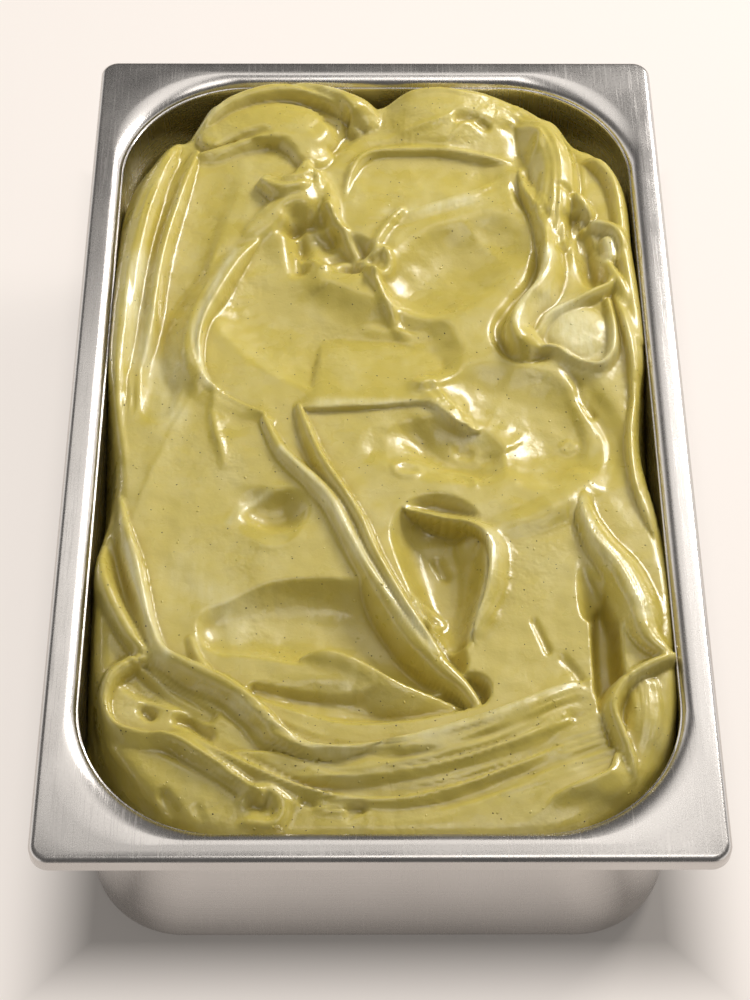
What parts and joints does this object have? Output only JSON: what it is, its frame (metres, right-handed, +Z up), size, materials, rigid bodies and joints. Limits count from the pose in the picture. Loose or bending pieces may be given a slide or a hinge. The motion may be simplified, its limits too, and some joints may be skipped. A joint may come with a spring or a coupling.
{
  "type": "gelato pan",
  "caption": "Rectangular stainless steel pan with a flat flange and round inner corners, filled to the rim with swirled pistachio gelato.",
  "frame": {"origin": "centre of the pan's flat base, on the surface it stands on", "axes": "+Z up, +Y along the pan's length towards its back end, +X to the right seen from the front end"},
  "size_m": [0.325, 0.53, 0.1252],
  "materials": {
    "steel": "satin stainless steel with fine scratches on the flange",
    "gelato": "soft glossy pistachio gelato with pale streaks and fine dark specks"
  },
  "bodies": {
    "root": {"pan": "steel", "gelato": "gelato"}
  },
  "joints": []
}
